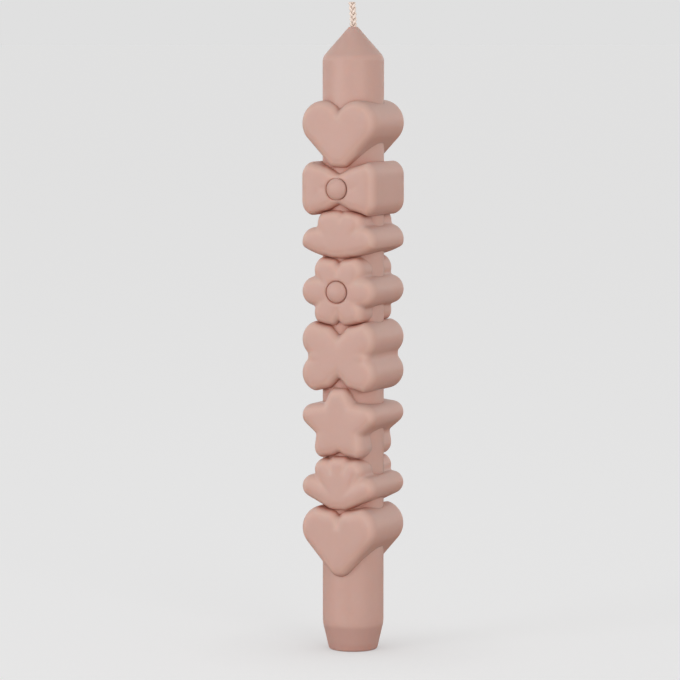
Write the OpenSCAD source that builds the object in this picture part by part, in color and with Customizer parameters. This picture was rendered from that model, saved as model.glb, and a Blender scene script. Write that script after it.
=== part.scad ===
// Sculpted taper candle.
// A straight wax column with a cone tip and a tapered plug carries a stack of
// puffy wax forms, each threaded on the column like a bead and pressed against
// its neighbours. A plaited cotton wick of three strands runs up the middle.
// The origin is the middle of the foot, +Z is up, and the forms face -Y and +Y.

/* [Column] */
// Diameter of the straight column
column_d = 23.5; // [18:0.5:30]
// Bare column between the plug and the lowest form
bare_bottom = 20; // [6:0.5:60]
// Bare column between the topmost form and the shoulder
bare_top = 17.4; // [4:0.1:60]
// Radius of the shoulder between the column and the tip
shoulder_r = 4; // [1:0.5:8]

/* [Tip] */
// Height of the cone tip
tip_h = 11.5; // [7:0.5:20]
// Diameter of the small flat on top of the tip
tip_d = 3.5; // [3.4:0.1:7]
// Radius of the edge round that flat
tip_r = 0.2; // [0.1:0.1:0.3]

/* [Plug] */
// Height of the tapered plug that goes into a candle holder
plug_h = 10.5; // [6:0.5:20]
// Diameter of the foot, where the plug is narrowest
foot_d = 18.6; // [12:0.2:20]
// Radius of the edge round the foot
foot_r = 0.9; // [0.2:0.1:2]
// Radius of the blend between the plug and the column
plug_blend_r = 12; // [2:1:16]

/* [Forms] */
// How far the forms stand out from the column, on every side
overhang = 4; // [3:0.25:8]
// Radius of the soft edge round the front and the back of a form
edge_r = 4.2; // [1:0.2:5]
// How much of each lobe is flattened where two forms press together
squeeze = 1; // [0.2:0.1:1.5]
// Radius of the bowed crease between two forms
crease_r = 30; // [26:1:90]
// Gap in that crease
crease_gap = 0.3; // [0.1:0.05:0.6]
// Gap between the bore of a form and its slightly slimmer seat on the column
seat_gap = 0.2; // [0.16:0.01:0.4]
// Least wax beside the column where a form closes round it
side_wall = 1.6; // [1:0.1:2.5]
// How far the lobes that end in front of the column stay inside its outline
lobe_inset = 1.2; // [0.6:0.1:3]
// Height of each heart
heart_h = 24.5; // [21:0.5:32]
// Height of the shell
shell_h = 21; // [18:0.5:28]
// Height of the star
star_h = 26; // [23:0.5:34]
// Height of the clover
clover_h = 23; // [20:0.5:30]
// Height of the flower
flower_h = 25.5; // [22:0.5:32]
// Height of the cloud
cloud_h = 18.5; // [16:0.5:24]
// Height of the bow
bow_h = 15.5; // [13:0.5:22]

/* [Buttons] */
// Diameter of the round button in the middle of the flower and of the bow
button_d = 8; // [5:0.5:10]
// How far a button's dome rises above the face of its form
button_rise = 1.6; // [0.3:0.1:3]
// Depth of the pocket that a button sits in
pocket_depth = 1.5; // [0.5:0.1:2]
// Gap between a button and the side of its pocket
pocket_gap = 0.2; // [0.05:0.05:0.4]

/* [Wick] */
// Width of one of the wick's three flattened strands
strand_w = 0.96; // [0.7:0.02:1]
// Length of wick that stands above the tip
wick_rise = 9.5; // [6:0.5:20]
// Height in which a strand crosses the plait and comes back
plait_pitch = 6; // [6:0.5:9]
// How far the top of the wick leans to the left
wick_lean = 0.6; // [0:0.1:2]
// Gap between the plait and the bore in the wax
wick_gap = 0.06; // [0.02:0.01:0.2]
// How far the cut lower ends of the strands lie above the foot
wick_recess = 0.5; // [0.2:0.1:2]

/* [Hidden] */

wax = [0.79, 0.64, 0.60];
cotton = [0.90, 0.82, 0.75];

// The forms fill a square of this half width round the column
form_half = column_d / 2 + overhang;

// The stack of forms from the bottom up: name, height, and the crease above the form,
// which bows up in the middle (1), bows down (-1) or is the free top (0)
stack = [
    ["heart_lower", heart_h, -1],
    ["shell", shell_h, 1],
    ["star", star_h, 1],
    ["clover", clover_h, -1],
    ["flower", flower_h, -1],
    ["cloud", cloud_h, 1],
    ["bow", bow_h, -1],
    ["heart_upper", heart_h, 0]
];
stack_z = plug_h + bare_bottom;

// The place of a form in the stack, and the height, bottom and middle of the form in place i
function place(name) = search([name], stack)[0];
function form_h(i) = stack[i][1];
function form_bottom(i) = i == 0 ? stack_z : form_bottom(i - 1) + form_h(i - 1) + crease_gap;
function form_z(i) = form_bottom(i) + form_h(i) / 2;

stack_top = form_bottom(len(stack) - 1) + heart_h;
shoulder_z = stack_top + bare_top;
tip_z = shoulder_z + tip_h;

// The plait: the thickness of a strand, and how far it swings sideways, and forwards and back
strand_t = 0.64 * strand_w;
swing = 0.9 * strand_w;
weave = 0.72 * swing;
wick_bore_d = 2 * (swing + strand_w / 2 + wick_gap);
plait_z = tip_z - plait_pitch / 2;
wick_top_z = tip_z + wick_rise;

// Fineness of the curves
arc_steps = 8;
form_sides = 96;
edge_steps = 3;
chain_steps = 12;
strand_sides = 10;
rings_per_pitch = 12;
$fn = 96;

function unit(v) = v / norm(v);

// The arc of radius r that rounds off corner b between the points a and c
function fillet(a, b, c, r) =
    let (
        u = unit(a - b),
        w = unit(c - b),
        half = acos(u * w) / 2,
        centre = b + unit(u + w) * r / sin(half),
        first = b + u * r / tan(half) - centre,
        last = b + w * r / tan(half) - centre,
        turn = 180 - 2 * half
    )
    [for (i = [0 : arc_steps])
        let (t = turn * i / arc_steps)
        centre + (first * sin(turn - t) + last * sin(t)) / sin(turn)];

// The half section of the column, from the wick's bore round to the tip
function column_section() =
    let (
        bore_r = wick_bore_d / 2,
        foot = [foot_d / 2, 0],
        column_r = column_d / 2,
        seat_r = column_r - seat_gap,
        plug_top = [column_r, plug_h],
        seat_bottom_z = stack_z - squeeze - crease_gap,
        seat_top_z = stack_top + squeeze + crease_gap,
        shoulder = [column_r, shoulder_z],
        tip = [tip_d / 2, tip_z]
    )
    concat(
        [[bore_r, 0]],
        fillet([0, 0], foot, plug_top, foot_r),
        fillet(foot, plug_top, shoulder, plug_blend_r),
        [[column_r, seat_bottom_z], [seat_r, seat_bottom_z]],
        [[seat_r, seat_top_z], [column_r, seat_top_z]],
        fillet(plug_top, shoulder, tip, shoulder_r),
        fillet(shoulder, tip, [0, tip_z], tip_r),
        [[bore_r, tip_z]]
    );

module column() {
    color(wax)
        rotate_extrude()
            polygon(column_section());
}

// Where the lobes of form i end, at x from the middle, before they are pressed
function sag(x) = crease_r - sqrt(crease_r * crease_r - x * x);
function bow_above(i) = stack[i][2];
function bow_below(i) = i == 0 ? 0 : stack[i - 1][2];
function top_at(i, x) = form_h(i) / 2 + squeeze - bow_above(i) * sag(x);
function bottom_at(i, x) = -form_h(i) / 2 - squeeze - bow_below(i) * sag(x);

// A form's outline is the reach of a family of round puffs, each [x, z, radius].
// A limb is the row of puffs that fills the tapering band from p to q.
function limb(p, q) = [for (i = [0 : chain_steps]) p + (q - p) * i / chain_steps];
function both_sides(puffs) = [for (p = puffs) each [p, [-p.x, p.y, p.z]]];
// The hub fills the middle, so that the creases between lobes stay short
function hub(z, share) = [0, z, share * form_half];
// Where the middle of a lobe of radius r lies, for a lobe that stands out beside the column,
// one that closes the wall there, and one that ends in front of the column
function outer_x(r) = form_half - r;
function wall_x(r) = column_d / 2 + side_wall - r;
function inner_x(r) = column_d / 2 - lobe_inset - r;

// Two lobes that run down to one blunt point
function heart_puffs(i) =
    let (
        lobe_r = 0.55 * form_half,
        point_r = 0.3 * form_half,
        x = outer_x(lobe_r),
        lobe = [x, top_at(i, x) - lobe_r, lobe_r],
        point = [0, bottom_at(i, 0) + point_r, point_r]
    )
    concat([hub(-0.06 * form_half, 0.6)], both_sides(limb(lobe, point)));

// A fan of five fingers that spring from one hinge
function shell_puffs(i) =
    let (
        finger_r = 0.285 * form_half,
        hinge = [0, bottom_at(i, 0) + finger_r, finger_r],
        low = -0.1 * form_half,
        high = top_at(i, 0) - finger_r,
        side = [outer_x(finger_r), low, finger_r],
        slant = [inner_x(finger_r), low + (high - low) * sin(50), finger_r]
    )
    concat(
        [hub(0.05 * form_half, 0.42)],
        limb(hinge, [0, high, finger_r]),
        both_sides(concat(limb(hinge, side), limb(hinge, slant)))
    );

// Five tapering arms, one of them upright
function star_puffs(i) =
    let (
        arm_r = 0.285 * form_half,
        foot_x = inner_x(arm_r),
        top = top_at(i, 0) - arm_r,
        bottom = bottom_at(i, foot_x) + arm_r,
        rise = (top - bottom) / (1 + cos(36)),
        middle = hub(top - rise, 0.58),
        side = [outer_x(arm_r), middle.y + rise * sin(18), arm_r],
        foot = [foot_x, bottom, arm_r]
    )
    concat(
        limb(middle, [0, top, arm_r]),
        both_sides(concat(limb(middle, side), limb(middle, foot)))
    );

// Four round leaves, and a web that closes the waist between them
function clover_puffs(i) =
    let (
        leaf_r = 0.46 * form_half,
        web_r = 0.3 * form_half,
        x = outer_x(leaf_r),
        upper = [x, top_at(i, x) - leaf_r, leaf_r],
        lower = [x, bottom_at(i, x) + leaf_r, leaf_r],
        web = [wall_x(web_r), (upper.y + lower.y) / 2, web_r]
    )
    concat([hub(0, 0.42)], both_sides([upper, web, lower]));

// Six round petals: one on each side, two on top and two below
function petal(i) =
    let (
        petal_r = 0.36 * form_half,
        x = inner_x(petal_r)
    )
    [x, top_at(i, x) - petal_r, petal_r];
function lower_petal(i) =
    let (p = petal(i))
    [p.x, bottom_at(i, p.x) + p.z, p.z];
function flower_hub_z(i) = (petal(i).y + lower_petal(i).y) / 2;
function flower_puffs(i) =
    let (
        r = petal(i).z,
        side = [outer_x(r), flower_hub_z(i), r]
    )
    concat([hub(flower_hub_z(i), 0.48)], both_sides([petal(i), side, lower_petal(i)]));

// A crown, a brow and two cheeks on a broad belly
function cloud_puffs(i) =
    let (
        crown_r = 0.4 * form_half,
        brow_r = 0.34 * form_half,
        left_r = 0.35 * form_half,
        right_r = 0.38 * form_half,
        belly_r = 0.48 * form_half,
        crown_x = -0.19 * form_half,
        brow_x = inner_x(brow_r),
        left_x = -outer_x(left_r),
        right_x = outer_x(right_r),
        left = [left_x, bottom_at(i, left_x) + left_r, left_r],
        right = [right_x, bottom_at(i, right_x) + right_r, right_r],
        crown = [crown_x, top_at(i, crown_x) - crown_r, crown_r],
        brow = [brow_x, top_at(i, brow_x) - brow_r, brow_r]
    )
    concat([crown, brow, [0, bottom_at(i, 0) + belly_r, belly_r]], limb(left, right));

// Two loops that spread from a narrow waist
function bow_puffs(i) =
    let (
        waist_r = 0.32 * form_half,
        loop_r = 0.35 * form_half,
        x = outer_x(loop_r),
        waist = [0, 0, waist_r],
        upper = [x, top_at(i, x) - loop_r, loop_r],
        lower = [x, bottom_at(i, x) + loop_r, loop_r]
    )
    both_sides(concat(limb(waist, upper), limb(waist, lower), limb(upper, lower)));

// How far puff p, made smaller by inset, reaches from the middle in direction a
function puff_reach(p, inset, a) =
    let (
        r = p.z - inset,
        along = p.x * cos(a) + p.y * sin(a),
        square = r * r - p.x * p.x - p.y * p.y + along * along
    )
    r > 0 && square > 0 ? along + sqrt(square) : 0;

// How far it is to the crease in direction a, for a form whose end bows out (1) or in (-1)
FREE = 1000;
function crease_reach(bow, half, inset, a) =
    let (
        far = half + crease_gap + crease_r,
        along = far * sin(a),
        r = crease_r + crease_gap + inset,
        square = r * r - far * far + along * along
    )
    bow > 0 ? puff_reach([0, half - crease_r, crease_r], inset, a) :
    bow < 0 && along > 0 && square > 0 ? along - sqrt(square) : FREE;

function form_reach(i, puffs, inset, a) =
    let (half = form_h(i) / 2)
    min(
        max([for (p = puffs) puff_reach(p, inset, a)]),
        crease_reach(bow_above(i), half, inset, a),
        crease_reach(-bow_below(i), half, inset, -a)
    );

// A closed skin over a row of rings that run from the front to the back
module loft(rings, front, back) {
    n = len(rings[0]);
    last = (len(rings) - 1) * n;
    front_at = last + n;
    caps = [for (j = [0 : n - 1]) each [
        [front_at, (j + 1) % n, j],
        [front_at + 1, last + j, last + (j + 1) % n]
    ]];
    sides = [for (k = [0 : n : last - 1], j = [0 : n - 1]) let (m = (j + 1) % n) each [
        [k + j, k + m, k + n + m],
        [k + j, k + n + m, k + n + j]
    ]];
    polyhedron(concat([for (ring = rings) each ring], [front, back]), concat(caps, sides));
}

// Form i as a puffy slab: straight walls, and a soft round edge at the front and the back
module puffy(i, puffs) {
    turns = [for (k = [0 : edge_steps]) 90 * k / edge_steps];
    back_edge = [for (t = turns) [edge_r * (1 - cos(t)), form_half - edge_r * (1 - sin(t))]];
    front_edge = [for (k = [edge_steps : -1 : 0]) [back_edge[k].x, -back_edge[k].y]];
    rings = [for (s = concat(front_edge, back_edge))
        [for (j = [0 : form_sides - 1])
            let (a = 360 * j / form_sides, r = form_reach(i, puffs, s.x, a))
            [r * cos(a), s.y, r * sin(a)]]];
    loft(rings, [0, -form_half, 0], [0, form_half, 0]);
}

// Form i in its place, with its bore for the column
module form(i, puffs) {
    translate([0, 0, form_z(i)])
        difference() {
            puffy(i, puffs);
            translate([0, 0, -form_h(i)])
                cylinder(h = 2 * form_h(i), d = column_d);
        }
}

// Puts children, drawn along +Z, on the floor of a pocket in the front (-1) or back (1) face
module in_pocket(side, z) {
    translate([0, side * (form_half - pocket_depth), z])
        rotate([-90 * side, 0, 0])
            children();
}

// Form i with a round pocket in both faces
module pocketed_form(i, puffs, z) {
    difference() {
        form(i, puffs);
        for (side = [-1, 1])
            in_pocket(side, z)
                cylinder(h = 2 * pocket_depth, d = button_d + 2 * pocket_gap);
    }
}

// A round button with a domed face
module button(side, z) {
    r = button_d / 2;
    height = pocket_depth + button_rise;
    dome_r = (r * r + button_rise * button_rise) / (2 * button_rise);
    color(wax)
        in_pocket(side, z)
            rotate_extrude()
                intersection() {
                    square([r, height]);
                    translate([0, height - dome_r])
                        circle(dome_r);
                }
}

flower_z = form_z(place("flower")) + flower_hub_z(place("flower"));
bow_z = form_z(place("bow"));

module heart_lower() color(wax) form(place("heart_lower"), heart_puffs(place("heart_lower")));
module shell() color(wax) form(place("shell"), shell_puffs(place("shell")));
module star() color(wax) form(place("star"), star_puffs(place("star")));
module clover() color(wax) form(place("clover"), clover_puffs(place("clover")));
module flower() color(wax) pocketed_form(place("flower"), flower_puffs(place("flower")), flower_z);
module cloud() color(wax) form(place("cloud"), cloud_puffs(place("cloud")));
module bow() color(wax) pocketed_form(place("bow"), bow_puffs(place("bow")), bow_z);
module heart_upper() color(wax) form(place("heart_upper"), heart_puffs(place("heart_upper")));
module flower_button_front() button(-1, flower_z);
module flower_button_back() button(1, flower_z);
module bow_knot_front() button(-1, bow_z);
module bow_knot_back() button(1, bow_z);

// A point on the middle line of the strand with that phase. On the front, strands part on their
// way up, so the plait shows a row of Vs.
function strand_point(phase, z) =
    let (
        t = phase + 360 * (z - plait_z) / plait_pitch,
        up = max(0, z - tip_z) / wick_rise
    )
    [swing * sin(t) - wick_lean * up * up, -weave * sin(2 * t), z];

// A ring of the strand's skin round point p, square to its direction
function strand_ring(p, direction) =
    let (
        side = unit(cross([0, 1, 0], direction)),
        front = cross(unit(direction), side)
    )
    [for (j = [0 : strand_sides - 1])
        let (a = -360 * j / strand_sides)
        p + side * cos(a) * strand_w / 2 + front * sin(a) * strand_t / 2];

// One strand: straight inside the wax, and plaited from just below the tip up
module strand(phase) {
    steps = ceil((wick_top_z - plait_z) * rings_per_pitch / plait_pitch);
    heights = [for (k = [0 : steps]) plait_z + k * (wick_top_z - plait_z) / steps];
    start = strand_point(phase, plait_z);
    path = concat([[start.x, start.y, wick_recess]], [for (z = heights) strand_point(phase, z)]);
    last = len(path) - 1;
    rings = [for (k = [0 : last])
        strand_ring(
            path[k],
            k == 0 || k == last ? [0, 0, 1] : unit(path[k + 1] - path[k]) + unit(path[k] - path[k - 1])
        )];
    color(cotton)
        loft(rings, path[0], path[last]);
}

module wick_strand_1() strand(0);
module wick_strand_2() strand(120);
module wick_strand_3() strand(240);

column();
heart_lower();
shell();
star();
clover();
flower();
cloud();
bow();
heart_upper();
flower_button_front();
flower_button_back();
bow_knot_front();
bow_knot_back();
wick_strand_1();
wick_strand_2();
wick_strand_3();
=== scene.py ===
import math

import bmesh
import bpy
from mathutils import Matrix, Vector


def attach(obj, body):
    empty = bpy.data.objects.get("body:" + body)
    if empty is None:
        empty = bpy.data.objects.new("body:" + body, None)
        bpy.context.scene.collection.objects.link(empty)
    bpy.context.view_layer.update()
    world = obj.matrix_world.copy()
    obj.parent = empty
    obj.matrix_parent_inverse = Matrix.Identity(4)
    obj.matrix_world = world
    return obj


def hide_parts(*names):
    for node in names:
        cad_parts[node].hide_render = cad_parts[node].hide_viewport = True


# Sculpted taper candle: a wax column with a stack of puffy moulded forms and a plaited wick.
# All sizes are in metres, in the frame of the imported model.

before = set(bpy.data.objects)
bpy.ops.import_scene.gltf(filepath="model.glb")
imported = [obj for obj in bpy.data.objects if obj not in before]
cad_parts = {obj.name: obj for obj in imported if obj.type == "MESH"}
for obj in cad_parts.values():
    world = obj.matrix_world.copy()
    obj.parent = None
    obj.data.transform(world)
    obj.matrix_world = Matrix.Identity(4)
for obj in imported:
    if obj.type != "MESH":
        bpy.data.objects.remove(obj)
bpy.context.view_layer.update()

MM = 0.001
# Slack for tests on places
TINY = 1e-6
NEAR = 10 * TINY

# Column, tip and plug
COLUMN_R = 11.75 * MM
PLUG_H = 10.5 * MM
FOOT_R = 9.3 * MM
FOOT_EDGE_R = 0.9 * MM
PLUG_BLEND_R = 12 * MM
BARE_BOTTOM = 20 * MM
BARE_TOP = 17.4 * MM
SHOULDER_R = 4 * MM
TIP_H = 11.5 * MM
TIP_R = 1.75 * MM
TIP_EDGE_R = 0.2 * MM
COLUMN_SIDES = 192
BLEND_STEPS = 10
TIP_STEPS = 5

# Forms
OVERHANG = 4 * MM
FORM_HALF = COLUMN_R + OVERHANG
EDGE_R = 4.2 * MM
SQUEEZE = 1 * MM
CREASE_R = 30 * MM
# Spacing of the forms, and how much of it stays open where two of them press together
CREASE_GAP = 0.3 * MM
CREASE_SLIT = 0.1 * MM
SIDE_WALL = 1.6 * MM
LOBE_INSET = 1.2 * MM
BORE_GAP = 0.05 * MM
BORE_R = COLUMN_R + BORE_GAP
BORE_WALL = 1 * MM
CUTTER_PROUD = 0.03 * MM
# Crumbs that drilling leaves are smaller than this
CRUMB = 8 * TINY
PUFF_SIDES = 72
EDGE_STEPS = 8
ROUGH_GRAIN = 0.5 * MM
FINE_GRAIN = 0.4 * MM
SOFTENING = 14

# Name, height and the crease above each form, from the bottom up: the crease bows up in the
# middle (1), bows down (-1) or is the free top (0)
STACK = [
    ("heart_lower", 24.5 * MM, -1),
    ("shell", 21 * MM, 1),
    ("star", 26 * MM, 1),
    ("clover", 23 * MM, -1),
    ("flower", 25.5 * MM, -1),
    ("cloud", 18.5 * MM, 1),
    ("bow", 15.5 * MM, -1),
    ("heart_upper", 24.5 * MM, 0),
]
STACK_Z = PLUG_H + BARE_BOTTOM

# Buttons
BUTTON_R = 4 * MM
BUTTON_RISE = 1.6 * MM
POCKET_DEPTH = 1.5 * MM
POCKET_GAP = 0.2 * MM
POCKET_LIP_R = 0.9 * MM
# A button fills its pocket a little more than the solid does, and lies clear of the floor
BUTTON_FULLNESS = 0.1 * MM
BUTTON_LIFT = 0.28 * MM
BUTTON_WALL = 0.66 * MM
BUTTON_UNDER_R = 0.6 * MM
BUTTON_SIDES = 96
UNDER_STEPS = 6
DOME_STEPS = 16

# Wick
STRAND_W = 0.96 * MM
FLATNESS = 0.64
WICK_RISE = 9.5 * MM
PLAIT_PITCH = 6 * MM
WICK_LEAN = 0.6 * MM
WICK_GAP = 0.06 * MM
WICK_RECESS = 0.5 * MM
MOUTH_DIP = 0.12 * MM
MOUTH_SHARE = 0.86
SWING = 0.9 * STRAND_W
WEAVE = 0.72 * SWING
# Yarns round a strand: how far the valleys between them reach, as a share of its radius, and
# how much further the ridges do
YARNS = 8
YARN_VALLEY = 0.98
YARN_RIDGE = 0.06
YARN_SIDES = 48
STRAND_RINGS = 130


def form_place(name):
    return [form[0] for form in STACK].index(name)


def form_height(i):
    return STACK[i][1]


def form_bottom(i):
    return STACK_Z + sum(form_height(k) + CREASE_GAP for k in range(i))


def form_middle(i):
    return form_bottom(i) + form_height(i) / 2


def crease_above(i):
    return STACK[i][2]


def crease_below(i):
    return STACK[i - 1][2] if i > 0 else 0


STACK_TOP = form_bottom(len(STACK) - 1) + form_height(len(STACK) - 1)
SHOULDER_Z = STACK_TOP + BARE_TOP
TIP_Z = SHOULDER_Z + TIP_H
PLAIT_Z = TIP_Z - PLAIT_PITCH / 2
WICK_TOP = TIP_Z + WICK_RISE
WICK_BORE_R = SWING + STRAND_W / 2 + WICK_GAP


# Working by hand: selecting, editing and finishing a piece


def pick(*pieces):
    """Selects these pieces and nothing else. The first one is active."""
    bpy.ops.object.select_all(action="DESELECT")
    for piece in pieces:
        piece.select_set(True)
    bpy.context.view_layer.objects.active = pieces[0]


def fresh_piece():
    """The primitive that was just added, with its place moved into its mesh."""
    bpy.ops.object.transform_apply(location=True, rotation=True, scale=True)
    return bpy.context.object


def start_edit(piece):
    pick(piece)
    bpy.ops.object.mode_set(mode="EDIT")
    bpy.ops.mesh.select_all(action="DESELECT")


def end_edit():
    bpy.ops.object.mode_set(mode="OBJECT")


def select_rings(piece, *rings):
    """Selects the edges whose two ends both lie on one of the rings."""
    bpy.ops.mesh.select_mode(type="EDGE")
    bpy.ops.mesh.select_all(action="DESELECT")
    mesh = bmesh.from_edit_mesh(piece.data)
    for edge in mesh.edges:
        on_ring = any(all(ring(corner.co) for corner in edge.verts) for ring in rings)
        edge.select_set(on_ring)
    bmesh.update_edit_mesh(piece.data)


def select_faces(piece, wanted):
    """Selects the faces whose corners are all wanted."""
    bpy.ops.mesh.select_mode(type="FACE")
    bpy.ops.mesh.select_all(action="DESELECT")
    mesh = bmesh.from_edit_mesh(piece.data)
    for face in mesh.faces:
        face.select_set(all(wanted(corner.co) for corner in face.verts))
    bmesh.update_edit_mesh(piece.data)


def at_level(axis, level):
    """A test for corners that lie at that level of an axis (0, 1 or 2)."""
    return lambda co: abs(co[axis] - level) < TINY


def pull_cap(axis, start, steps):
    """Extrudes the selected cap along an axis, in steps of (level, widening, centre)."""
    level = start
    for new_level, widening, centre in steps:
        move = [0, 0, 0]
        move[axis] = new_level - level
        bpy.ops.mesh.extrude_region_move(TRANSFORM_OT_translate={"value": move})
        size = [widening, widening, widening]
        size[axis] = 1
        bpy.ops.transform.resize(value=size, center_override=centre)
        level = new_level


def join(pieces):
    pick(*pieces)
    bpy.ops.object.join()
    return pieces[0]


def modify(piece, kind, **settings):
    """Adds a modifier with these settings and applies it."""
    pick(piece)
    modifier = piece.modifiers.new(kind.title(), kind)
    for setting, value in settings.items():
        setattr(modifier, setting, value)
    bpy.ops.object.modifier_apply(modifier=modifier.name)


def cut(piece, tool, operation="DIFFERENCE"):
    """Cuts the piece with a tool, which is then gone."""
    modify(piece, "BOOLEAN", object=tool, operation=operation, solver="MANIFOLD")
    bpy.data.objects.remove(tool)


def clean_bore(piece):
    """Clears the crumbs of drilling, and splits the faces round the bore into triangles."""
    start_edit(piece)
    bpy.ops.mesh.select_all(action="SELECT")
    bpy.ops.mesh.remove_doubles(threshold=CRUMB)
    select_faces(piece, lambda co: abs(co.xy.length - BORE_R) < BORE_WALL)
    bpy.ops.mesh.quads_convert_to_tris(quad_method="BEAUTY", ngon_method="BEAUTY")
    # A crumb hangs on by one edge, so its other edges are open
    bpy.ops.mesh.select_mode(type="EDGE")
    bpy.ops.mesh.select_all(action="DESELECT")
    bpy.ops.mesh.select_non_manifold(
        use_wire=True, use_boundary=True, use_multi_face=False, use_non_contiguous=False,
        use_verts=False,
    )
    bpy.ops.mesh.delete(type="EDGE")
    bpy.ops.mesh.select_all(action="SELECT")
    bpy.ops.mesh.normals_make_consistent(inside=False)
    end_edit()


def smooth(piece, degrees):
    pick(piece)
    bpy.ops.object.shade_smooth_by_angle(angle=math.radians(degrees))


def hand_over(piece, node, finish):
    """Gives a piece its name, finish and place in the model."""
    piece.name = node + "_visual"
    piece.data.name = piece.name
    piece.data.materials.clear()
    piece.data.materials.append(finish)
    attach(piece, "root")
    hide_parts(node)


# Finishes


def grey(level):
    return (level, level, level)


BLACK = grey(0.0)
WHITE = grey(1.0)
WAX_DARK = (0.590, 0.402, 0.358)
WAX_LIGHT = (0.626, 0.438, 0.392)
WAX_PAINTED_HIGHLIGHT = (0.668, 0.480, 0.424)
WAX_PLUG = (0.480, 0.306, 0.276)
WAX_PAINTED_CREASE_SHADE = (0.500, 0.225, 0.172)
COTTON_DARK = (0.87, 0.77, 0.69)
COTTON_LIGHT = (0.95, 0.88, 0.82)
COTTON_SOAKED = (0.72, 0.54, 0.46)
COTTON_PAINTED_SHADE = (0.48, 0.36, 0.29)
PLUG_FADE = 1.5 * MM
CREASE_SHADE_REACH = 4.2 * MM
CREASE_SHADE_FADE = 4 * MM
SOAK_H = 1.1 * MM
YARN_SHADE_REACH = 0.7 * MM


class Nodes:
    """The nodes of one finish, or of the light all round."""

    def __init__(self, owner):
        owner.use_nodes = True
        self.owner = owner
        self.tree = owner.node_tree
        self.tree.nodes.clear()

    def add(self, kind, output, settings=None, **inputs):
        """Adds a node, sets it up, fills its sockets and returns the wanted output."""
        node = self.tree.nodes.new(kind)
        for setting, value in (settings or {}).items():
            if setting == "stops":
                self.set_stops(node.color_ramp, value)
            else:
                setattr(node, setting, value)
        for socket, value in inputs.items():
            self.fill(node.inputs[self.socket_index(node, socket)], value)
        return Value(self, node.outputs[output])

    def socket_index(self, node, name):
        """The place of a socket, named with _ for a blank or as input_ and its number."""
        wanted = name.replace("_", " ").lower()
        for index, socket in enumerate(node.inputs):
            if socket.enabled and socket.name.lower() == wanted:
                return index
        return int(name.removeprefix("input_"))

    def set_stops(self, ramp, stops):
        while len(ramp.elements) < len(stops):
            ramp.elements.new(0.5)
        for element, (position, colour) in zip(ramp.elements, stops):
            element.position = position
            element.color = (*colour, 1)

    def fill(self, socket, value):
        if isinstance(value, Value):
            self.tree.links.new(value.socket, socket)
        elif isinstance(value, tuple) and socket.type == "RGBA":
            socket.default_value = (*value, 1)
        else:
            socket.default_value = value

    def finished(self, shader, output="ShaderNodeOutputMaterial"):
        """The owner with this shader as its surface."""
        self.fill(self.tree.nodes.new(output).inputs["Surface"], shader)
        return self.owner

    def noise(self, place, scale, detail=2.0, roughness=0.5):
        return self.add(
            "ShaderNodeTexNoise", "Fac",
            Vector=place, Scale=scale, Detail=detail, Roughness=roughness,
        )

    def mix(self, share, first, second):
        return self.add(
            "ShaderNodeMix", "Result", {"data_type": "RGBA"},
            input_0=share, input_6=first, input_7=second,
        )

    def axis(self, place, letter):
        """How far a place lies along the axis X, Y or Z."""
        return self.add("ShaderNodeSeparateXYZ", letter, Vector=place)

    def openness(self, reach, samples=8):
        """1 where nothing stands round a point within that reach, and less in a crease."""
        return self.add(
            "ShaderNodeAmbientOcclusion", "AO", {"samples": samples}, Distance=reach,
        )

    def seen_or_not(self, seen, unseen):
        """One shader for what the camera sees, and another for what lights the candle."""
        ray = self.add("ShaderNodeLightPath", "Is Camera Ray")
        return self.add(
            "ShaderNodeMixShader", "Shader", input_0=ray, input_1=unseen, input_2=seen,
        )


class Value:
    """A socket's value. Sums on values add Math nodes."""

    def __init__(self, nodes, socket):
        self.nodes = nodes
        self.socket = socket

    def math(self, operation, first, second=0.0, clamp=False):
        return self.nodes.add(
            "ShaderNodeMath", "Value", {"operation": operation, "use_clamp": clamp},
            input_0=first, input_1=second,
        )

    def __add__(self, other):
        return self.math("ADD", self, other)

    def __radd__(self, other):
        return self.math("ADD", other, self)

    def __sub__(self, other):
        return self.math("SUBTRACT", self, other)

    def __rsub__(self, other):
        return self.math("SUBTRACT", other, self)

    def __mul__(self, other):
        return self.math("MULTIPLY", self, other)

    def __rmul__(self, other):
        return self.math("MULTIPLY", other, self)

    def __truediv__(self, other):
        return self.math("DIVIDE", self, other)

    def __rtruediv__(self, other):
        return self.math("DIVIDE", other, self)

    def clamped(self):
        return self.math("ADD", self, 0.0, clamp=True)

    def size(self):
        return self.math("ABSOLUTE", self)


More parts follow.
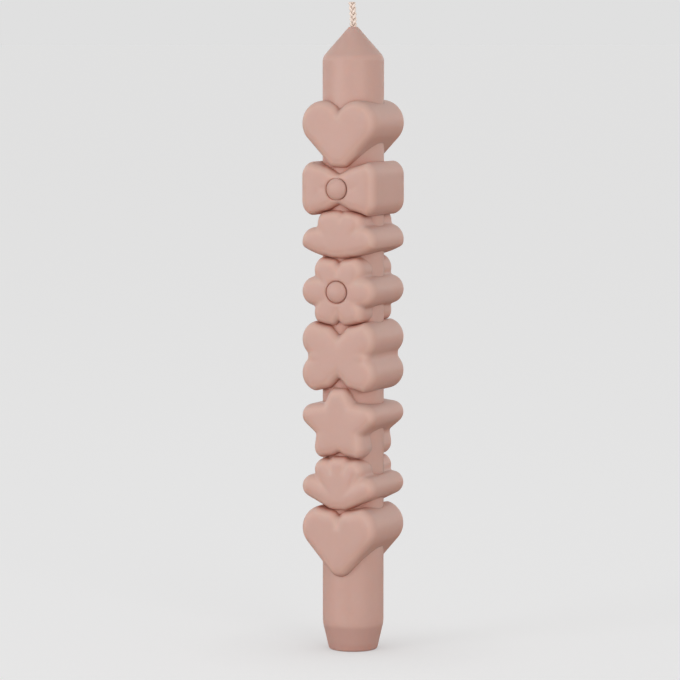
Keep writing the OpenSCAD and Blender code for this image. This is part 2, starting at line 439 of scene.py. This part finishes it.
def candle_wax():
    """Dusty pink wax with a satin skin, a painted highlight round the soft edges of the forms
    and painted shade deep in the creases.
    """
    n = Nodes(bpy.data.materials.new("candle_wax"))
    place = n.add("ShaderNodeTexCoord", "Object")
    cloud = n.noise(place, 55, detail=3)
    mottle = n.noise(place, 420, detail=4, roughness=0.6)
    pores = n.noise(place, 2600, detail=3, roughness=0.6)
    ripple = n.noise(place, 160, detail=1)
    share = (0.5 + (cloud - 0.5) * 1.3 + (mottle - 0.5) * 0.7).clamped()
    body = n.mix(share, WAX_DARK, WAX_LIGHT)
    # Painted highlight: a paler, warmer band is painted round the soft edges of the forms
    # How far a point lies behind the face of a form, as a share of its soft edge
    depth = (FORM_HALF - n.axis(place, "Y").size()) / EDGE_R
    painted_highlight = n.add(
        "ShaderNodeValToRGB", "Color",
        {"stops": [
            (0.0, BLACK), (0.03, grey(0.2)), (0.14, WHITE), (0.4, grey(0.8)), (0.95, BLACK),
        ]},
        Fac=depth,
    )
    highlighted = n.mix(painted_highlight, body, WAX_PAINTED_HIGHLIGHT)
    # The plug is a shade darker than the column
    z = n.axis(place, "Z")
    plug = ((PLUG_H - z) / PLUG_FADE).clamped() * 0.5
    toned = n.mix(plug, highlighted, WAX_PLUG)
    # Painted shade: wax deep in a crease is painted darker and redder, but not at the foot and
    # at the wick
    between_ends = (z / CREASE_SHADE_FADE).clamped() * ((TIP_Z - z) / CREASE_SHADE_FADE).clamped()
    painted_shade = ((0.86 - n.openness(CREASE_SHADE_REACH)) / 0.62).clamped() * between_ends
    colour = n.mix(painted_shade, toned, WAX_PAINTED_CREASE_SHADE)
    roughness = 0.44 + (mottle - 0.5) * 0.16 + (pores - 0.5) * 0.1
    height = ripple * 0.6 + mottle * 0.3 + pores * 0.1
    skin = n.add(
        "ShaderNodeBump", "Normal", Strength=0.16, Distance=0.35 * MM, Height=height,
    )
    shader = n.add(
        "ShaderNodeBsdfPrincipled", "BSDF", {"subsurface_method": "RANDOM_WALK"},
        Base_Color=colour, Roughness=roughness, Normal=skin, IOR=1.44,
        Subsurface_Weight=0.5, Subsurface_Radius=(1.0, 0.5, 0.36),
        Subsurface_Scale=2 * MM, Specular_IOR_Level=0.35,
    )
    return n.finished(shader)


def wick_cotton():
    """Unbleached cotton: fine fibres along the yarn, a foot that has soaked up wax, and painted
    shade between the yarns.
    """
    n = Nodes(bpy.data.materials.new("wick_cotton"))
    place = n.add("ShaderNodeTexCoord", "Object")
    along = n.add("ShaderNodeMapping", "Vector", Vector=place, Scale=(1.0, 1.0, 0.22))
    fibre = n.noise(along, 14000, detail=3, roughness=0.65)
    fleck = n.noise(place, 2200, detail=2)
    z = n.axis(place, "Z")
    soaked = (1 - (z - TIP_Z) / SOAK_H + (fleck - 0.5) * 0.8).clamped()
    dry = n.mix((fibre * 0.6 + fleck * 0.4).clamped(), COTTON_DARK, COTTON_LIGHT)
    # Painted shade: cotton between the yarns and strands is painted darker
    painted_shade = ((0.75 - n.openness(YARN_SHADE_REACH)) / 0.6).clamped()
    colour = n.mix(painted_shade, n.mix(soaked, dry, COTTON_SOAKED), COTTON_PAINTED_SHADE)
    roughness = 0.9 - soaked * 0.3
    nap = n.add(
        "ShaderNodeBump", "Normal", Strength=0.5, Distance=0.05 * MM, Height=fibre,
    )
    shader = n.add(
        "ShaderNodeBsdfPrincipled", "BSDF",
        Base_Color=colour, Roughness=roughness, Normal=nap, Sheen_Weight=0.25,
        Sheen_Roughness=0.5,
    )
    return n.finished(shader)


wax = candle_wax()
cotton = wick_cotton()


# The wax column


def blend_offset(radius, turn):
    """How far a round of that radius reaches from an edge where a wall turns by an angle."""
    return radius * math.tan(turn / 2)


def make_column():
    bpy.ops.object.select_all(action="DESELECT")
    bpy.ops.mesh.primitive_cylinder_add(
        vertices=COLUMN_SIDES, radius=FOOT_R, depth=PLUG_H, location=(0, 0, PLUG_H / 2)
    )
    column = fresh_piece()
    start_edit(column)
    # The plug widens to the column, which goes up to the shoulder and on to the tip
    select_faces(column, at_level(2, PLUG_H))
    bpy.ops.transform.resize(
        value=(COLUMN_R / FOOT_R, COLUMN_R / FOOT_R, 1), center_override=(0, 0, PLUG_H)
    )
    pull_cap(2, PLUG_H, [
        (SHOULDER_Z, 1, (0, 0, SHOULDER_Z)),
        (TIP_Z, TIP_R / COLUMN_R, (0, 0, TIP_Z)),
    ])
    plug_turn = math.atan2(COLUMN_R - FOOT_R, PLUG_H)
    cone_turn = math.atan2(COLUMN_R - TIP_R, TIP_H)
    # The hole for the wick, oval where the plait leaves the wax
    select_faces(column, at_level(2, TIP_Z))
    bpy.ops.mesh.inset(thickness=TIP_R - WICK_BORE_R)
    bpy.ops.transform.resize(value=(1, MOUTH_SHARE, 1), center_override=(0, 0, TIP_Z))
    bpy.ops.transform.translate(value=(0, 0, -MOUTH_DIP))
    bpy.ops.mesh.extrude_region_move(
        TRANSFORM_OT_translate={"value": (0, 0, PLAIT_Z - TIP_Z + MOUTH_DIP)}
    )
    bpy.ops.transform.resize(value=(1, 1 / MOUTH_SHARE, 1), center_override=(0, 0, PLAIT_Z))
    select_faces(column, at_level(2, 0))
    bpy.ops.mesh.inset(thickness=FOOT_R - WICK_BORE_R)
    ends = at_level(2, 0), at_level(2, PLAIT_Z)
    select_faces(column, lambda co: co.xy.length < FOOT_R / 2 and any(end(co) for end in ends))
    bpy.ops.mesh.bridge_edge_loops()
    for level, ring_r, radius, turn, steps in (
        (TIP_Z, TIP_R, TIP_EDGE_R, math.pi / 2 - cone_turn, TIP_STEPS),
        (SHOULDER_Z, COLUMN_R, SHOULDER_R, cone_turn, BLEND_STEPS),
        (PLUG_H, COLUMN_R, PLUG_BLEND_R, plug_turn, BLEND_STEPS),
        (0, FOOT_R, FOOT_EDGE_R, math.pi / 2 - plug_turn, BLEND_STEPS),
    ):
        select_rings(
            column,
            lambda co: abs(co.z - level) < TINY and abs(co.xy.length - ring_r) < NEAR,
        )
        bpy.ops.mesh.bevel(
            offset=blend_offset(radius, turn), segments=steps, affect="EDGES"
        )
    bpy.ops.mesh.select_all(action="SELECT")
    bpy.ops.mesh.normals_make_consistent(inside=False)
    end_edit()
    smooth(column, degrees=35)
    hand_over(column, "column", wax)


# The puffy forms


def outer_x(r):
    """Middle of a lobe of radius r that stands out beside the column, up to the box."""
    return FORM_HALF - NEAR - r


def wall_x(r):
    """Middle of a lobe that closes the wall beside the column."""
    return COLUMN_R + SIDE_WALL - r


def inner_x(r):
    """Middle of a lobe that ends in front of the column."""
    return COLUMN_R - LOBE_INSET - r


def sag(x):
    """How far a bowed crease has turned away from its middle, at x beside it."""
    return CREASE_R - math.sqrt(CREASE_R * CREASE_R - x * x)


def top_at(i, x):
    """How far above the middle of form i a lobe ends, before it is pressed."""
    return form_height(i) / 2 + SQUEEZE - crease_above(i) * sag(x)


def bottom_at(i, x):
    """The same for a lobe that ends below the middle, where the level is negative."""
    return -form_height(i) / 2 - SQUEEZE - crease_below(i) * sag(x)


def hub(up, share):
    """A puff that fills the middle of a form, so that the creases between lobes stay short."""
    return (0, up, share * FORM_HALF)


def both_sides(bands):
    """Each band of puffs, and its mirror image."""
    return bands + [[(-x, up, r) for x, up, r in band] for band in bands]


def heart_bands(i):
    """Two lobes that run down to one blunt point."""
    lobe_r, point_r = 0.55 * FORM_HALF, 0.3 * FORM_HALF
    x = outer_x(lobe_r)
    lobe = (x, top_at(i, x) - lobe_r, lobe_r)
    point = (0, bottom_at(i, 0) + point_r, point_r)
    return [[hub(-0.06 * FORM_HALF, 0.6)]] + both_sides([[lobe, point]])


def shell_bands(i):
    """A fan of five fingers that spring from one hinge."""
    r = 0.285 * FORM_HALF
    hinge = (0, bottom_at(i, 0) + r, r)
    low, high = -0.1 * FORM_HALF, top_at(i, 0) - r
    side = (outer_x(r), low, r)
    slant = (inner_x(r), low + (high - low) * math.sin(math.radians(50)), r)
    fingers = [[hinge, (0, high, r)]] + both_sides([[hinge, side], [hinge, slant]])
    return [[hub(0.05 * FORM_HALF, 0.42)]] + fingers


def star_bands(i):
    """Five tapering arms, one of them upright."""
    r = 0.285 * FORM_HALF
    top, bottom = top_at(i, 0) - r, bottom_at(i, inner_x(r)) + r
    rise = (top - bottom) / (1 + math.cos(math.radians(36)))
    middle = hub(top - rise, 0.58)
    side = (outer_x(r), middle[1] + rise * math.sin(math.radians(18)), r)
    foot = (inner_x(r), bottom, r)
    return [[middle, (0, top, r)]] + both_sides([[middle, side], [middle, foot]])


def clover_bands(i):
    """Four round leaves, and a web that closes the waist between them."""
    r, web_r = 0.46 * FORM_HALF, 0.3 * FORM_HALF
    x = outer_x(r)
    upper, lower = (x, top_at(i, x) - r, r), (x, bottom_at(i, x) + r, r)
    web = (wall_x(web_r), (upper[1] + lower[1]) / 2, web_r)
    core = hub(0, 0.36)
    leaves = both_sides([[core, upper], [core, web], [core, lower]])
    return [[hub(0, 0.42)]] + leaves


def flower_petals(i):
    """An upper and a lower petal in front of the column."""
    r = 0.36 * FORM_HALF
    x = inner_x(r)
    return (x, top_at(i, x) - r, r), (x, bottom_at(i, x) + r, r)


def flower_heart_z(i):
    """How far the middle of the flower lies above the middle of its place in the stack."""
    upper, lower = flower_petals(i)
    return (upper[1] + lower[1]) / 2


def flower_bands(i):
    """Six round petals: one on each side, two on top and two below."""
    upper, lower = flower_petals(i)
    side = (outer_x(upper[2]), flower_heart_z(i), upper[2])
    core = hub(flower_heart_z(i), 0.36)
    petals = both_sides([[core, upper], [core, side], [core, lower]])
    return [[hub(flower_heart_z(i), 0.48)]] + petals


def cloud_bands(i):
    """A crown, a brow and two cheeks on a broad belly."""
    crown_r, brow_r, belly_r = 0.4 * FORM_HALF, 0.34 * FORM_HALF, 0.48 * FORM_HALF
    left_r, right_r = 0.35 * FORM_HALF, 0.38 * FORM_HALF
    crown_x, brow_x = -0.19 * FORM_HALF, inner_x(brow_r)
    left_x, right_x = -outer_x(left_r), outer_x(right_r)
    left = (left_x, bottom_at(i, left_x) + left_r, left_r)
    right = (right_x, bottom_at(i, right_x) + right_r, right_r)
    crown = (crown_x, top_at(i, crown_x) - crown_r, crown_r)
    brow = (brow_x, top_at(i, brow_x) - brow_r, brow_r)
    belly = (0, bottom_at(i, 0) + belly_r, belly_r)
    return [[crown, belly], [brow, belly], [left, right]]


def bow_bands(i):
    """Two loops that spread from a narrow waist."""
    waist_r, r = 0.32 * FORM_HALF, 0.35 * FORM_HALF
    x = outer_x(r)
    waist = (0, 0, waist_r)
    upper, lower = (x, top_at(i, x) - r, r), (x, bottom_at(i, x) + r, r)
    return both_sides([[waist, upper], [waist, lower], [upper, lower]])


def puff(x, z, r, half=FORM_HALF):
    """One round puff: a thick bar from the front to the back with soft rims."""
    bpy.ops.object.select_all(action="DESELECT")
    bpy.ops.mesh.primitive_cylinder_add(
        vertices=PUFF_SIDES, radius=r, depth=2 * half,
        location=(x, 0, z), rotation=(math.pi / 2, 0, 0),
    )
    bar = fresh_piece()
    start_edit(bar)
    select_rings(bar, at_level(1, half), at_level(1, -half))
    bpy.ops.mesh.bevel(offset=EDGE_R, segments=EDGE_STEPS, affect="EDGES")
    end_edit()
    return bar


def flare(bar, side, z, r, edge_r):
    """Widens the front (-1) or back (1) end of a bar, to cut a soft edge into a form's face."""
    start = side * (FORM_HALF - edge_r)
    select_faces(bar, at_level(1, start))
    steps, reach = [], r
    for k in range(1, EDGE_STEPS + 1):
        turn = math.pi / 2 * k / EDGE_STEPS
        y = side * (FORM_HALF - edge_r * (1 - math.sin(turn)))
        new_reach = r + edge_r * (1 - math.cos(turn))
        steps.append((y, new_reach / reach, (0, y, z)))
        reach = new_reach
    beyond = side * (FORM_HALF + edge_r)
    steps.append((beyond, 1, (0, beyond, z)))
    pull_cap(1, start, steps)


def flared_bar(z, r):
    """A thick bar whose rims flare, to press the crease of a form that bows in."""
    bpy.ops.object.select_all(action="DESELECT")
    bpy.ops.mesh.primitive_cylinder_add(
        vertices=2 * PUFF_SIDES, radius=r, depth=2 * (FORM_HALF - EDGE_R),
        location=(0, 0, z), rotation=(math.pi / 2, 0, 0),
    )
    bar = fresh_piece()
    start_edit(bar)
    for side in (-1, 1):
        flare(bar, side, z, r, EDGE_R)
    end_edit()
    return bar


def press_crease(form, i, side, bow):
    """Presses the upper (1) or lower (-1) end of form i, which bows out (1) or in (-1)."""
    middle, half = form_middle(i), form_height(i) / 2
    if bow > 0:
        proud = FORM_HALF + CUTTER_PROUD
        bar = puff(0, middle + side * (half - CREASE_R), CREASE_R, proud)
        cut(form, bar, "INTERSECT")
    elif bow < 0:
        bar = flared_bar(middle + side * (half + CREASE_GAP + CREASE_R), CREASE_R + CREASE_SLIT)
        cut(form, bar)


def round_drill(r, start, end):
    """A round cutter from one point to another along Y or Z."""
    start, end = Vector(start), Vector(end)
    upright = abs(end.z - start.z) > TINY
    bpy.ops.object.select_all(action="DESELECT")
    bpy.ops.mesh.primitive_cylinder_add(
        vertices=COLUMN_SIDES, radius=r, depth=(end - start).length,
        location=(start + end) / 2, rotation=(0 if upright else math.pi / 2, 0, 0),
    )
    return fresh_piece()


def pocket_drill(side, z):
    """A cutter for the pocket of a button, with a soft lip."""
    r = BUTTON_R + POCKET_GAP
    floor_y = side * (FORM_HALF - POCKET_DEPTH)
    drill = round_drill(r, (0, floor_y, z), (0, side * (FORM_HALF - POCKET_LIP_R), z))
    start_edit(drill)
    flare(drill, side, z, r, POCKET_LIP_R)
    end_edit()
    return drill


def make_form(name, bands, button_z=None):
    i = form_place(name)
    middle = form_middle(i)
    limbs = []
    for band in bands:
        limb = join([puff(x, middle + up, r) for x, up, r in band])
        if len(band) > 1:
            start_edit(limb)
            bpy.ops.mesh.select_all(action="SELECT")
            bpy.ops.mesh.convex_hull()
            end_edit()
        limbs.append(limb)
    form = join(limbs)
    modify(form, "REMESH", mode="VOXEL", voxel_size=ROUGH_GRAIN)
    press_crease(form, i, 1, crease_above(i))
    press_crease(form, i, -1, -crease_below(i))
    if button_z is not None:
        for side in (-1, 1):
            cut(form, pocket_drill(side, button_z))
    modify(form, "REMESH", mode="VOXEL", voxel_size=FINE_GRAIN)
    modify(form, "SMOOTH", factor=0.5, iterations=SOFTENING)
    reach = 2 * form_height(i)
    cut(form, round_drill(BORE_R, (0, 0, middle - reach), (0, 0, middle + reach)))
    clean_bore(form)
    smooth(form, degrees=50)
    hand_over(form, name, wax)


# The buttons


def make_button():
    """A round button with a full dome and a rounded underside, in a pocket in the front."""
    r = BUTTON_R + BUTTON_FULLNESS
    floor_y = -(FORM_HALF - POCKET_DEPTH + BUTTON_LIFT)
    wall_y = floor_y - BUTTON_WALL
    dome_h = FORM_HALF + BUTTON_RISE + floor_y - BUTTON_WALL
    bpy.ops.object.select_all(action="DESELECT")
    bpy.ops.mesh.primitive_cylinder_add(
        vertices=BUTTON_SIDES, radius=r, depth=BUTTON_WALL,
        location=(0, floor_y - BUTTON_WALL / 2, 0), rotation=(math.pi / 2, 0, 0),
    )
    button = fresh_piece()
    start_edit(button)
    select_rings(button, at_level(1, floor_y))
    bpy.ops.mesh.bevel(offset=BUTTON_UNDER_R, segments=UNDER_STEPS, affect="EDGES")
    select_faces(button, at_level(1, wall_y))
    steps, reach = [], r
    for k in range(1, DOME_STEPS):
        turn = math.pi / 2 * k / DOME_STEPS
        new_reach = r * math.cos(turn)
        y = wall_y - dome_h * math.sin(turn)
        steps.append((y, new_reach / reach, (0, y, 0)))
        reach = new_reach
    pull_cap(1, wall_y, steps)
    bpy.ops.mesh.select_all(action="SELECT")
    bpy.ops.mesh.normals_make_consistent(inside=False)
    end_edit()
    smooth(button, degrees=40)
    return button


def place_buttons(first, places):
    """Copies the first button to each place of (node, side, height) and takes it away."""
    for node, side, z in places:
        button = first.copy()
        button.data = first.data.copy()
        bpy.context.scene.collection.objects.link(button)
        button.location = (0, 0, z)
        button.rotation_euler = (0, 0, 0 if side < 0 else math.pi)
        pick(button)
        bpy.ops.object.transform_apply(location=True, rotation=True, scale=True)
        hand_over(button, node, wax)
    bpy.data.objects.remove(first)


# The plaited wick


def strand_point(phase, z):
    """A point on the middle line of a strand, before the plait is pressed flat.

    On the front, strands part on their way up, so the plait shows a row of Vs."""
    turn = phase + 2 * math.pi * (z - PLAIT_Z) / PLAIT_PITCH
    up = max(0, z - TIP_Z) / WICK_RISE
    return Vector((
        SWING * math.sin(turn) - WICK_LEAN * up * up, -WEAVE / FLATNESS * math.sin(2 * turn), z,
    ))


def yarn_section():
    """The outline of a strand: yarns laid side by side round a core."""
    section = bpy.data.curves.new("yarn_section", "CURVE")
    spline = section.splines.new("POLY")
    spline.points.add(YARN_SIDES - 1)
    spline.use_cyclic_u = True
    for k, point in enumerate(spline.points):
        a = 2 * math.pi * k / YARN_SIDES
        r = STRAND_W / 2 * (YARN_VALLEY + YARN_RIDGE * abs(math.cos(YARNS * a / 2)))
        point.co = (r * math.cos(a), r * math.sin(a), 0, 1)
    outline = bpy.data.objects.new("yarn_section", section)
    bpy.context.scene.collection.objects.link(outline)
    return outline


def make_strand(node, phase, outline):
    foot = strand_point(phase, PLAIT_Z)
    foot.z = WICK_RECESS
    height = WICK_TOP + STRAND_W - PLAIT_Z
    levels = [PLAIT_Z + height * k / STRAND_RINGS for k in range(STRAND_RINGS + 1)]
    path = [foot] + [strand_point(phase, z) for z in levels]
    curve = bpy.data.curves.new(node, "CURVE")
    curve.dimensions = "3D"
    curve.bevel_mode = "OBJECT"
    curve.bevel_object = outline
    curve.use_fill_caps = True
    spline = curve.splines.new("POLY")
    spline.points.add(len(path) - 1)
    for point, place in zip(spline.points, path):
        point.co = (*place, 1)
    strand = bpy.data.objects.new(node, curve)
    bpy.context.scene.collection.objects.link(strand)
    pick(strand)
    bpy.ops.object.convert(target="MESH")
    strand = bpy.context.object
    start_edit(strand)
    bpy.ops.mesh.select_all(action="SELECT")
    bpy.ops.mesh.remove_doubles(threshold=TINY)
    # The plait is pressed flat, and its top is trimmed
    bpy.ops.transform.resize(value=(1, FLATNESS, 1), center_override=(0, 0, 0))
    bpy.ops.mesh.bisect(
        plane_co=(0, 0, WICK_TOP - TINY), plane_no=(0, 0, 1), use_fill=True, clear_outer=True,
        threshold=TINY / 10,
    )
    bpy.ops.mesh.quads_convert_to_tris(ngon_method="BEAUTY")
    bpy.ops.mesh.select_all(action="SELECT")
    bpy.ops.mesh.normals_make_consistent(inside=False)
    end_edit()
    smooth(strand, degrees=60)
    hand_over(strand, node, cotton)


# Making the candle

make_column()
for name, bands_of in (
    ("heart_lower", heart_bands),
    ("shell", shell_bands),
    ("star", star_bands),
    ("clover", clover_bands),
    ("cloud", cloud_bands),
    ("heart_upper", heart_bands),
):
    make_form(name, bands_of(form_place(name)))
flower_z = form_middle(form_place("flower")) + flower_heart_z(form_place("flower"))
bow_z = form_middle(form_place("bow"))
make_form("flower", flower_bands(form_place("flower")), flower_z)
make_form("bow", bow_bands(form_place("bow")), bow_z)
place_buttons(make_button(), [
    ("flower_button_front", -1, flower_z),
    ("flower_button_back", 1, flower_z),
    ("bow_knot_front", -1, bow_z),
    ("bow_knot_back", 1, bow_z),
])
yarns = yarn_section()
for number in (1, 2, 3):
    make_strand(f"wick_strand_{number}", 2 * math.pi * (number - 1) / 3, yarns)
bpy.data.objects.remove(yarns)


# Stage, light and camera

PAPER_DARK = (0.53, 0.55, 0.57)
PAPER_LIGHT = (0.55, 0.57, 0.59)
PAPER_SHADE = (0.37, 0.385, 0.40)
PAPER_BOUNCE = (0.47, 0.29, 0.23)
PAPER_SHADE_REACH = 60 * MM
FLOOR_R = 60
FLOOR_SIDES = 128
STUDIO_GLOW = (1.0, 0.96, 0.925)
BACKDROP = grey(0.745)
LAMP_SIZE = 1.2
LAMP_AIM = (0, 0, 0.12)
LAMP_WARM = (1.0, 0.965, 0.93)
AZIMUTH = math.radians(25)
ELEVATION = math.radians(5)
DISTANCE = 1.36
AIM_Z = 0.1199
AIM_LEFT = 5.1 * MM
SENSOR_WIDTH = 36
FOCAL_LENGTH = 187


def pale_paper():
    """Pale paper that throws little light back up at the candle, with a soft shade round it."""
    n = Nodes(bpy.data.materials.new("pale_paper"))
    place = n.add("ShaderNodeTexCoord", "Object")
    grain = n.noise(place, 900, detail=2)
    openness = n.openness(PAPER_SHADE_REACH, samples=16)
    paper = n.mix(grain, PAPER_DARK, PAPER_LIGHT)
    pale = n.add(
        "ShaderNodeBsdfPrincipled", "BSDF", Roughness=0.9, Specular_IOR_Level=0.0,
        Base_Color=n.mix(openness, PAPER_SHADE, paper),
        Emission_Color=n.mix(openness, grey(0.7), WHITE), Emission_Strength=0.45,
    )
    dim = n.add(
        "ShaderNodeBsdfPrincipled", "BSDF", Base_Color=PAPER_BOUNCE, Roughness=0.9,
        Specular_IOR_Level=0.0,
    )
    return n.finished(n.seen_or_not(pale, dim))


bpy.ops.object.select_all(action="DESELECT")
bpy.ops.mesh.primitive_circle_add(
    vertices=FLOOR_SIDES, radius=FLOOR_R, fill_type="NGON", location=(0, 0, 0)
)
floor = fresh_piece()
floor.name = "floor"
floor.data.materials.append(pale_paper())

scene = bpy.context.scene
scene.view_settings.view_transform = "Standard"


def studio_light():
    """Soft light from all round, weaker from above, and a plain pale backdrop."""
    n = Nodes(bpy.data.worlds.new("studio"))
    up = n.axis(n.add("ShaderNodeTexCoord", "Generated"), "Z")
    glow = n.add(
        "ShaderNodeBackground", "Background", Color=STUDIO_GLOW, Strength=1.42 - up * 1.3,
    )
    backdrop = n.add("ShaderNodeBackground", "Background", Color=BACKDROP, Strength=1.0)
    return n.finished(n.seen_or_not(backdrop, glow), "ShaderNodeOutputWorld")


scene.world = studio_light()


def soft_light(name, place, power, colour):
    """A round soft lamp that points at the middle of the candle."""
    light = bpy.data.lights.new(name, "AREA")
    light.shape = "DISK"
    light.size = LAMP_SIZE
    light.energy = power
    light.color = colour
    lamp = bpy.data.objects.new(name, light)
    scene.collection.objects.link(lamp)
    lamp.location = place
    lamp.rotation_euler = (Vector(LAMP_AIM) - Vector(place)).to_track_quat("-Z", "Y").to_euler()


soft_light("left", place=(-1.15, -1.99, 0.3), power=17.6, colour=WHITE)
soft_light("right", place=(1.76, -1.48, 0.3), power=15.2, colour=LAMP_WARM)

back = Vector((
    math.sin(AZIMUTH) * math.cos(ELEVATION),
    -math.cos(AZIMUTH) * math.cos(ELEVATION),
    math.sin(ELEVATION),
))
left = Vector((-math.cos(AZIMUTH), -math.sin(AZIMUTH), 0))
lens = bpy.data.cameras.new("camera")
lens.sensor_width = SENSOR_WIDTH
lens.lens = FOCAL_LENGTH
camera = bpy.data.objects.new("camera", lens)
scene.collection.objects.link(camera)
camera.location = Vector((0, 0, AIM_Z)) + left * AIM_LEFT + back * DISTANCE
camera.rotation_euler = (-back).to_track_quat("-Z", "Y").to_euler()
scene.camera = camera
